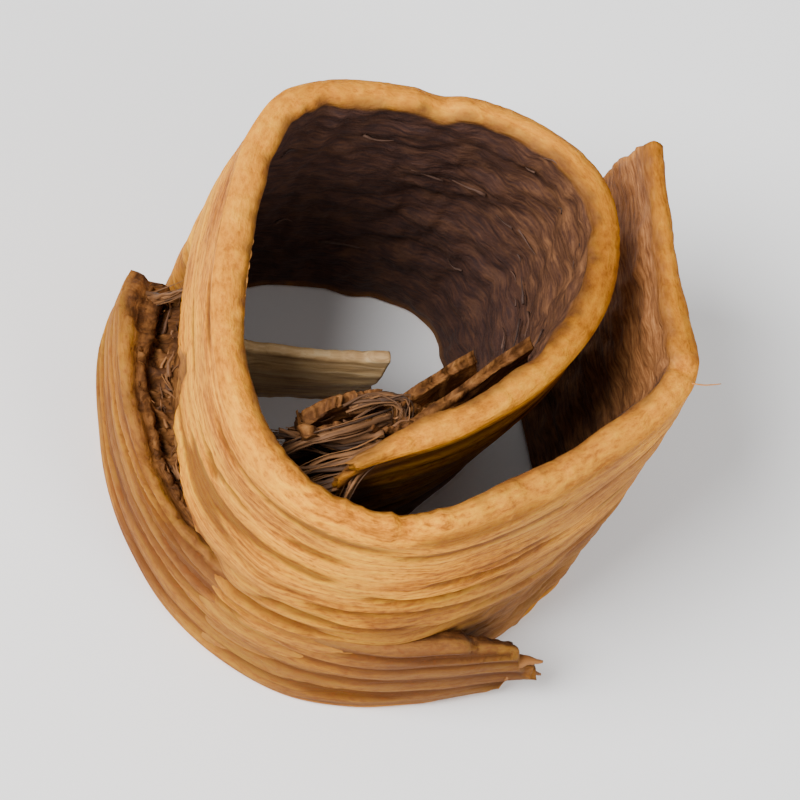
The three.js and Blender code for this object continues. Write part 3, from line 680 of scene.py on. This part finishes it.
def thin_form(flat, line, thick, low, top, ragged, notch, offset, slant=0):
    """A thin sheet along a line, between the heights low and top, with ragged edges and a torn free end."""
    s_end = line["run"][-1]
    s = flat[:, 0] * s_end
    u = np.interp(s, line["run"], line["u"])
    v, across = flat[:, 1], flat[:, 2]
    middle = np.abs(across * 2 - 1)
    high = top + ragged * ripple(u * 3.1, thick * 40) + 0.4 * ragged * ripple(u * 13, 5.5) - 0.2 * middle**2
    under = low + ragged * ripple(u * 2.3, thick * 50) + 0.4 * ragged * ripple(u * 11, 8.5) + 0.2 * middle**2
    z = under + (high - under) * v
    end = rise(u, line["u"][-1] - 1, line["u"][-1])
    back = notch * end * hump(v, 0.55, 0.5) + 0.05 * end * ripple(v * 9, across * 2) + slant * end * (1 - v)
    ridge = 0.10 * ripple(s / 9 + offset, z / 0.8) + 0.06 * ripple(s / 2.1, z / 0.9 + offset)
    bow = 0.5 * np.sin(np.pi * v)
    out = (thick / 2) * (across * 2 - 1) + ridge + bow
    places = on_strip(line, u - back, v, out, z)
    return s, z, across, ridge, places


def sliver_form(flat):
    s, z, across, ridge, places = thin_form(flat, sliver_line, SLIVER_THICK, 7.4, 16.0, 0.3, 0, 3, 0.17)
    # Painted shade in the dips between the ridges.
    marks = {"outer": 1, "cut": 0, "torn": 0, "painted_groove_shade": np.clip(-ridge * 5, 0, 1)}
    return places, np.stack([s + 400, z, across], 1), marks


def sliver_material():
    """Smooth inner bark: olive tan with faint lengthwise streaks and painted shade in the dips between its
    ridges.
    """
    material = bpy.data.materials.new("inner bark")
    material.use_nodes = True
    tree = material.node_tree
    shader = tree.nodes["Principled BSDF"]
    place = node(tree, "ShaderNodeAttribute", attribute_name="flat_place").outputs["Vector"]
    painted_groove_shade = node(tree, "ShaderNodeAttribute", attribute_name="painted_groove_shade").outputs["Fac"]
    grain = node(tree, "ShaderNodeGroup", node_tree=grain_group)
    tree.links.new(place, grain.inputs["Place"])
    colour = shades(tree, grain.outputs["Streak"], [(0.36, (0.54, 0.31, 0.13)), (0.5, (0.76, 0.49, 0.22)),
                                                    (0.64, (0.88, 0.64, 0.34))])
    # Painted shade in the dips between the ridges.
    colour = over(tree, sums(tree, "MULTIPLY", painted_groove_shade, 0.45), colour, (0.36, 0.18, 0.065, 1))
    tree.links.new(colour, shader.inputs["Base Color"])
    tree.links.new(sums(tree, "MULTIPLY_ADD", grain.outputs["Streak"], -0.3, 0.8), shader.inputs["Roughness"])
    bump = node(tree, "ShaderNodeBump",
                {"Height": grain.outputs["Streak"], "Strength": 0.6, "Distance": 0.0003})
    tree.links.new(bump.outputs["Normal"], shader.inputs["Normal"])
    return material


sliver_mesh, sliver_flat = bark_mat("inner_sliver", 90, 30, 3)
inner_sliver = curl(sliver_mesh, *sliver_form(sliver_flat), sliver_material())
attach(inner_sliver, "root")
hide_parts("bark_roll")

# Beside the frayed inner end the inner layers have peeled off the wall and lean into the hollow.
# They are dark fibrous sheets 1 to 1.5 mm thick with ragged tops: two broad ones at the end, and two long
# splinters that run along the wall.
PEEL = np.array([
    [7.2, -6.6, 5.2, -6.4], [4.0, -10.6, 2.0, -9.6], [1.0, -13.4, -0.6, -12.4], [-2.2, -16.2, -3.2, -15.4],
    [-5.4, -20.2, -5.6, -19.0],
])
SECOND_PEEL = np.array([
    [3.4, -8.2, 4.4, -8.0], [0.6, -9.8, 2.0, -9.9], [-1.4, -11.0, 0.2, -11.4], [-3.2, -12.9, -1.8, -13.2],
    [-4.7, -15.2, -3.6, -15.5], [-6.3, -17.8, -5.4, -18.0],
])
NEAR_SPLINTER = np.array([
    [2.6, -12.6, 3.0, -11.6], [3.9, -9.2, 4.8, -8.8], [4.9, -5.9, 6.0, -5.4], [5.9, -2.2, 6.9, -1.9],
    [7.4, 2.2, 7.4, 1.8],
])
FAR_SPLINTER = np.array([
    [0.6, -11.0, 1.6, -11.0], [1.8, -7.2, 4.2, -7.6], [2.6, -4.6, 5.2, -4.4], [3.7, -1.6, 6.2, -1.2],
])
# Name, line, thickness, low and top edge, how ragged they are, notch in the free end, depth of the shreds.
PEELED_LAYERS = [
    ("peeled_layer", PEEL, 1.3, 15.0, 31.5, 1.2, 0.5, 0.55),
    ("second_layer", SECOND_PEEL, 1.5, 17.0, 30.0, 1.0, 0.3, 0.55),
    ("near_splinter", NEAR_SPLINTER, 1.0, 18.0, 32.4, 0.3, 0.0, 0.16),
    ("far_splinter", FAR_SPLINTER, 1.0, 18.0, 31.0, 0.4, 0.0, 0.16),
]
for order, (name, rows, thick, low, top, ragged, notch, shred) in enumerate(PEELED_LAYERS):
    layer_mesh, layer_flat = bark_mat(name, 110, 56, 3)
    s, z, across, _, places = thin_form(layer_flat, pair_of_lines(rows), thick, low, top, ragged, notch, 9)
    shreds = shred * (0.9 * ripple(s / 6 + 4 * across, z / 0.6 + order)
                      + 0.6 * ripple(s / 3.2 + 5, z / 1.7 + order))
    fold = shred * 0.9 * ripple(s / 3.4 + order * 4, 11.5) * rise(z, top - 5, top)
    slit = 0.7 * ripple(s / 5 + order, across * 4 + 2.5) * rise(z, top - 2.5, top)
    places = places + np.stack([shreds * 0.7, shreds * 0.5, 0 * shreds], 1) * (across * 2 - 1)[:, None]
    places = places + np.stack([fold, fold * -0.8, slit], 1)
    # Painted light on the ragged tops: more torn colour and a paler inner colour towards the top, most on the
    # two splinters.
    light = rise(z, top - 3.5, top) * (0.4 + 0.6 * (shred < 0.3))
    marks = {"outer": 0, "cut": 0, "torn": 0.85 + 0.15 * light, "painted_groove_shade": 0, "pale": 0.3 * light,
             "painted_shade": 0, "deep_painted_shade": 0}
    layer = curl(layer_mesh, places, np.stack([s + 450 + 40 * order, z, across], 1), marks, bark)
    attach(layer, "root")
    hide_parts("bark_roll")

# Loose strands of bast lie over the peeled layers, hang from the inner end and stand at the split.
# Each is a bundle of five thick strands with nine thin fibres round them.
IN_BUNDLE = 14
THICK_IN_BUNDLE = 5
# Points along the middle of a bundle, its reach at the start and at the end, and how light it is.
LOOSE_STRANDS = [
    ([[2.4, -18.2, 36], [1.2, -21.0, 33.5], [1.6, -23.6, 30.5]], 0.5, 0.3, 0.6),
    ([[-2.8, -13.6, 29.4], [-1.4, -11.6, 30.6], [0.4, -10.8, 30.9], [1.6, -11.6, 30.2], [1.7, -12.8, 29]],
     0.8, 0.5, 0.5),
    ([[0.6, -12.8, 31], [-1.8, -17.2, 32], [-4.6, -20.2, 30.5], [-7.0, -22.8, 27]], 0.6, 0.4, 0.6),
    ([[-24.8, -7.6, 15], [-23.2, -8.2, 19], [-22.2, -8.4, 22]], 0.6, 0.25, 0.6),
    ([[1.8, -15.8, 31], [0.2, -18.6, 30.6], [-1.8, -20.6, 29.5], [-3.6, -22.6, 28.4]], 0.7, 0.4, 0.7),
    ([[0.4, -15.4, 30.6], [-2.0, -17.6, 29.6], [-4.4, -18.8, 29.6], [-7.2, -20.8, 30.0]], 0.8, 0.5, 0.45),
    ([[-1.2, -14.2, 26.8], [-3.4, -17.2, 26.4], [-6.0, -20.4, 25.2]], 0.8, 0.5, 0.4),
    ([[1.2, -20.6, 31.6], [-0.6, -22.4, 30.2], [-2.6, -24.0, 28.0]], 0.6, 0.4, 0.5),
]
chance = np.random.default_rng(5)
thick_curves, thin_curves = [], []
for points, start, end, tint in LOOSE_STRANDS:
    for n in range(IN_BUNDLE):
        thick = n < THICK_IN_BUNDLE
        slip = chance.uniform(-0.5, 0.5, 3) * start if thick else chance.uniform(-1.0, 1.0, 3) * start
        twist = chance.uniform(-0.5, 0.5, (len(points), 3)) * start
        reach = chance.uniform(0.42, 0.70) if thick else chance.uniform(0.10, 0.24)
        curves = thick_curves if thick else thin_curves
        curves.append((np.array(points) + slip + twist, start * reach, end * reach * 0.6,
                       tint * chance.uniform(0.2, 1.5)))
strand_bast = fibre_material("strand bast", (0.020, 0.007, 0.003), (0.30, 0.125, 0.036))
loose_strands = strands("loose_strands", thick_curves, strand_bast, rings=28, sides=9, knotty=0.55)
loose_fibres = strands("loose_fibres", thin_curves, strand_bast, rings=10, sides=4, knotty=0.4)
for loose in (loose_strands, loose_fibres):
    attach(loose, "root")
    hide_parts("bark_roll")

# Frayed bits of bast stand out along the ragged tops of the two broad sheets.
# They are short, 0.1 to 0.2 mm thick and bent at random.
END_FIBRES = 120
end_curves = []
chance = np.random.default_rng(31)
for n in range(END_FIBRES):
    line, top = (pair_of_lines(PEEL), 31.0) if n % 2 else (pair_of_lines(SECOND_PEEL), 29.5)
    u = chance.uniform(0.6, line["u"][-1] - 0.2)
    z = top - chance.uniform(-0.3, 4.0)
    start = on_strip(line, np.array([u]), 1.0, chance.uniform(-0.6, 0.6), z)[0]
    way = (on_strip(line, np.array([u + 0.3]), 1.0, 0.0, z)[0]
           - on_strip(line, np.array([u]), 1.0, 0.0, z)[0])
    way = way / np.linalg.norm(way) * chance.choice([-1, 1])
    middle = start + way * chance.uniform(0.6, 1.6) + chance.uniform(-0.4, 0.4, 3)
    tip = middle + way * chance.uniform(0.4, 1.6) + chance.uniform(-0.8, 0.5, 3)
    end_curves.append(([start, middle, tip], chance.uniform(0.07, 0.18), 0.04, chance.uniform(0.1, 0.9)))
end_fibre = fibre_material("loose bast", (0.04, 0.014, 0.005), (0.32, 0.13, 0.04))
end_strands = strands("end_strands", end_curves, end_fibre, rings=8)
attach(end_strands, "root")
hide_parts("bark_roll")

# Short fibres lie along the inner face of the coil, where the bark was stripped from the wood.
# They are hair-thin bast, from dark red brown to brown, most of them on the right.
FACE_FIBRES = 40
face_curves = []
chance = np.random.default_rng(47)
for n in range(FACE_FIBRES):
    u = chance.uniform(2.2, 12.0) if n % 3 == 0 else chance.uniform(3.0, 7.5)
    z = 36 * chance.uniform(0.05, 1) ** 0.7
    reach = chance.uniform(0.15, 0.7) * chance.choice([-1, 1])
    points = []
    for step in (0, 0.5, 1):
        height = np.array([np.clip(z + chance.uniform(-0.3, 0.3) * (1 + step), 1, 35.8)])
        lift = chance.uniform(0, 0.1) * step
        along = np.array([max(u + reach * step, 0.7)])
        face = -BARK_THICK / 2 - lift + 0.3
        points.append(on_strip(coil, along, height / STRIP_HEIGHT, face, height)[0])
    face_curves.append((points, chance.uniform(0.10, 0.22), 0.04, chance.uniform(0, 0.5)))
face_fibre = fibre_material("inner bast", (0.030, 0.013, 0.009), (0.19, 0.085, 0.045))
face_fibres = strands("face_fibres", face_curves, face_fibre, knotty=0.3)
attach(face_fibres, "root")
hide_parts("bark_roll")

# The floor is a plain pale sheet that runs out of the picture on all sides.
FLOOR_REACH = 3.0
floor_bm = bmesh.new()
bmesh.ops.create_grid(floor_bm, x_segments=1, y_segments=1, size=FLOOR_REACH)
floor_mesh = bpy.data.meshes.new("floor")
floor_bm.to_mesh(floor_mesh)
floor_bm.free()
floor_paint = bpy.data.materials.new("pale floor")
floor_paint.use_nodes = True
floor_paint.node_tree.nodes["Principled BSDF"].inputs["Base Color"].default_value = (0.93, 0.93, 0.93, 1)
floor_paint.node_tree.nodes["Principled BSDF"].inputs["Roughness"].default_value = 0.9
floor_mesh.materials.append(floor_paint)
floor = bpy.data.objects.new("floor", floor_mesh)
bpy.context.scene.collection.objects.link(floor)

# Soft studio light: a pale sky all round, a broad light at the front left and a weaker one at the right.
world = bpy.data.worlds.new("studio")
world.use_nodes = True
world.node_tree.nodes["Background"].inputs["Color"].default_value = (1, 1, 1, 1)
world.node_tree.nodes["Background"].inputs["Strength"].default_value = 0.56
bpy.context.scene.world = world


def soft_light(name, place, size, power):
    lamp = bpy.data.lights.new(name, "AREA")
    lamp.shape = "DISK"
    lamp.size = size
    lamp.energy = power
    light = bpy.data.objects.new(name, lamp)
    light.location = place
    light.rotation_mode = "QUATERNION"
    light.rotation_quaternion = (Vector((0, 0, 0.02)) - Vector(place)).to_track_quat("-Z", "Y")
    bpy.context.scene.collection.objects.link(light)


soft_light("key light", (-0.50, -0.60, 0.85), 0.60, 25)
soft_light("fill light", (0.80, -0.30, 0.50), 0.60, 5)

# The camera looks down at 57 degrees on the front of the coil, turned so that the coil leans to the right
# in the picture as it does in the photograph.
CAMERA_DISTANCE = 0.420
CAMERA_DOWN = np.radians(57)
CAMERA_TURN = np.radians(35)
PICTURE_WIDTH = 0.077
AIM = Vector((-MIDDLE_X * MM, -MIDDLE_Y * MM, 0.0185))
look = Vector((0, np.cos(CAMERA_DOWN), -np.sin(CAMERA_DOWN)))
level = Vector((1, 0, 0))
upright = Vector((0, np.sin(CAMERA_DOWN), np.cos(CAMERA_DOWN)))
right = level * np.cos(CAMERA_TURN) + upright * np.sin(CAMERA_TURN)
above = -level * np.sin(CAMERA_TURN) + upright * np.cos(CAMERA_TURN)
eye = bpy.data.cameras.new("camera")
eye.sensor_width = 36
eye.lens = 36 * CAMERA_DISTANCE / PICTURE_WIDTH
eye.shift_x = -0.0125
eye.shift_y = -0.027
eye.clip_start = 0.01
eye.clip_end = 20
camera = bpy.data.objects.new("camera", eye)
turned = Matrix((right, above, -look)).transposed().to_4x4()
turned.translation = AIM - look * CAMERA_DISTANCE
camera.matrix_world = turned
bpy.context.scene.collection.objects.link(camera)
bpy.context.scene.camera = camera
